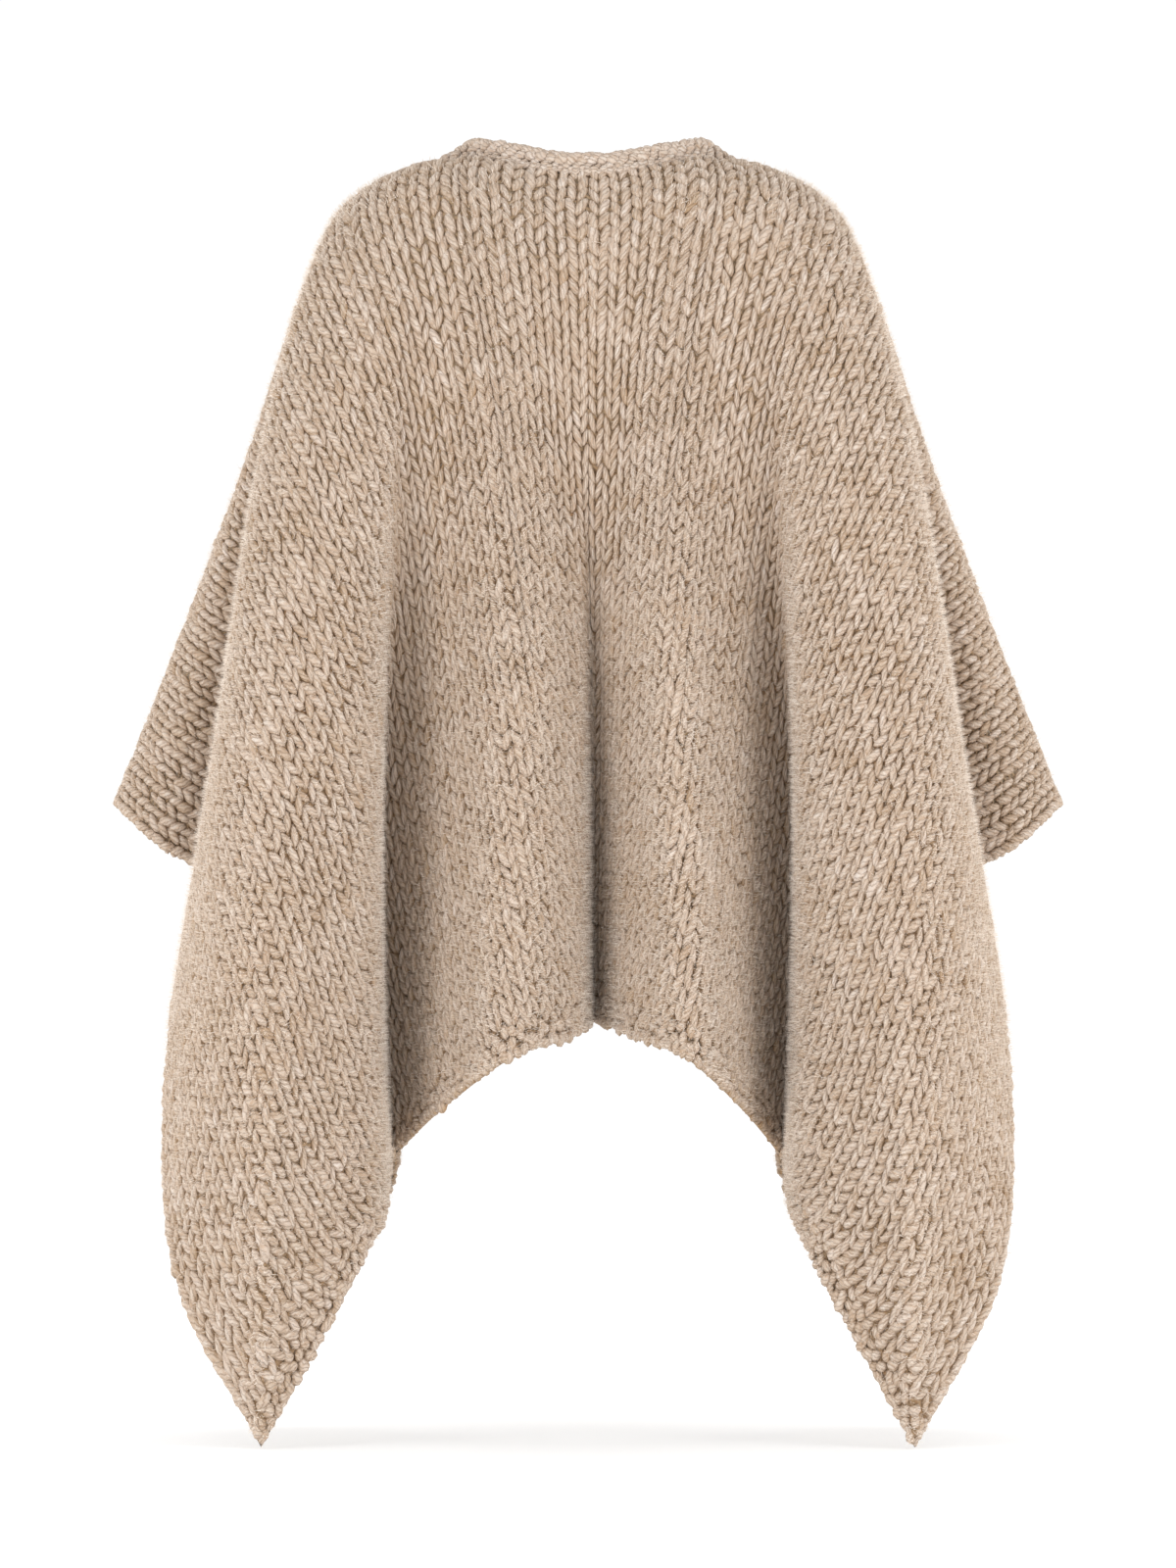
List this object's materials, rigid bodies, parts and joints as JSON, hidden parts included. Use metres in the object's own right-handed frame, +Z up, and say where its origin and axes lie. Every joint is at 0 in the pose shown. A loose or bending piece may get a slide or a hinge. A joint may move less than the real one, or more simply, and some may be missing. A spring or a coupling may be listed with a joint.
{
  "type": "knitted poncho cape",
  "caption": "Super-chunky knitted poncho cape in its worn shape: a round neck with a rolled edge, cloth that falls over the arms to open cuffs, deep hanging folds and long pointed corners.",
  "frame": {"origin": "middle of the neck opening, level with the shoulders that hold the cape up", "axes": "+Z up, out of the neck opening; +Y the way the wearer faces; +X towards the wearer's right hand"},
  "size_m": [0.8596, 0.4604, 1.1736],
  "materials": {
    "knitted_wool": "matte oatmeal wool in thick, loosely plied yarn, stocking stitch, with a soft fuzz",
    "neckband_wool": "matte oatmeal wool, a rolled row of cast-off stitches"
  },
  "bodies": {
    "root": {"back_panel": "knitted_wool", "front_panel": "knitted_wool", "neckband": "neckband_wool"}
  },
  "joints": []
}
